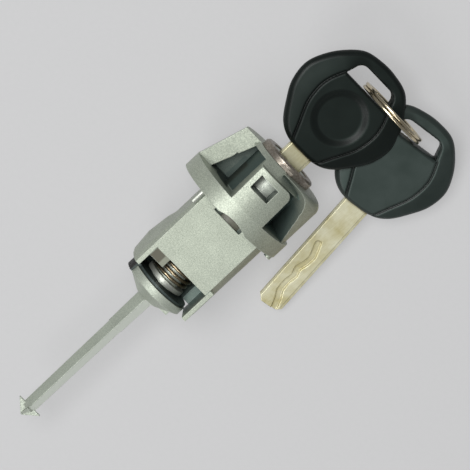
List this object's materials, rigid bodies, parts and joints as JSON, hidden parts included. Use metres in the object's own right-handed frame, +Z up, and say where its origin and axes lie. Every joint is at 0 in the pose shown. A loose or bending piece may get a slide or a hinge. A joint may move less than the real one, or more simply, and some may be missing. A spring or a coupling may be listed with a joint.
{
  "type": "car door lock cylinder",
  "caption": "Die-cast car door lock cylinder with sprung barrel, long tail bar, inserted key, split ring and spare key.",
  "frame": {"origin": "on the lock's axis, in the plane of the collar's rear face", "axes": "+Y along the lock's axis towards the tail bar, the key side is -Y, +Z up out of the body's flat top, +X towards the side rib"},
  "size_m": [0.0653, 0.1598, 0.0398],
  "materials": {
    "zinc": "fine-grained zinc die casting",
    "cap_steel": "pressed steel, slightly brown",
    "bright_steel": "bright",
    "black_steel": "blackened spring steel",
    "copper_wire": "copper-coloured spring wire",
    "wafer_brass": "stamped brass",
    "key_metal": "pale milled key metal",
    "key_plastic": "moulded black plastic with a soft sheen",
    "ring_steel": "polished wire"
  },
  "bodies": {
    "housing": {"housing": "zinc", "front_cap": "cap_steel", "roll_pin": "bright_steel", "return_spring": "copper_wire"},
    "plug": {"plug": "zinc", "dust_shutter": "cap_steel", "shutter_pin": "bright_steel", "shutter_spring": "bright_steel", "spring_bush": "bright_steel", "retaining_clip": "black_steel", "tail_rod": "zinc", "wafer_1": "wafer_brass", "wafer_2": "wafer_brass", "wafer_3": "wafer_brass", "wafer_4": "wafer_brass", "wafer_5": "wafer_brass", "wafer_6": "wafer_brass", "wafer_7": "wafer_brass", "wafer_8": "wafer_brass", "wafer_spring_1": "bright_steel", "wafer_spring_2": "bright_steel", "wafer_spring_3": "bright_steel", "wafer_spring_4": "bright_steel", "wafer_spring_5": "bright_steel", "wafer_spring_6": "bright_steel", "wafer_spring_7": "bright_steel", "wafer_spring_8": "bright_steel"},
    "key": {"key_blade": "key_metal", "key_head": "key_plastic"},
    "ring": {"split_ring": "ring_steel"},
    "spare_key": {"spare_key_blade": "key_metal", "spare_key_head": "key_plastic"}
  },
  "joints": [
    {"name": "plug_turn", "type": "hinge", "parent": "housing", "child": "plug", "pos_m": [0, 0, 0], "axis": [0, 1, 0], "range_deg": [-45, 45], "stiffness_Nm_per_rad": 0.4},
    {"name": "key_slide", "type": "slide", "parent": "plug", "child": "key", "axis": [0, -1, 0], "range_m": [0, 0.038]},
    {"name": "ring_swing", "type": "hinge", "parent": "key", "child": "ring", "pos_m": [0, -0.0573, 0], "axis": [0, 1, 0], "range_deg": [-10, 0]},
    {"name": "spare_swing", "type": "hinge", "parent": "ring", "child": "spare_key", "pos_m": [-0.02256, -0.0573, -0.0062], "axis": [-0.0162, 0.1382, 0.9903], "range_deg": [0, 20]}
  ]
}
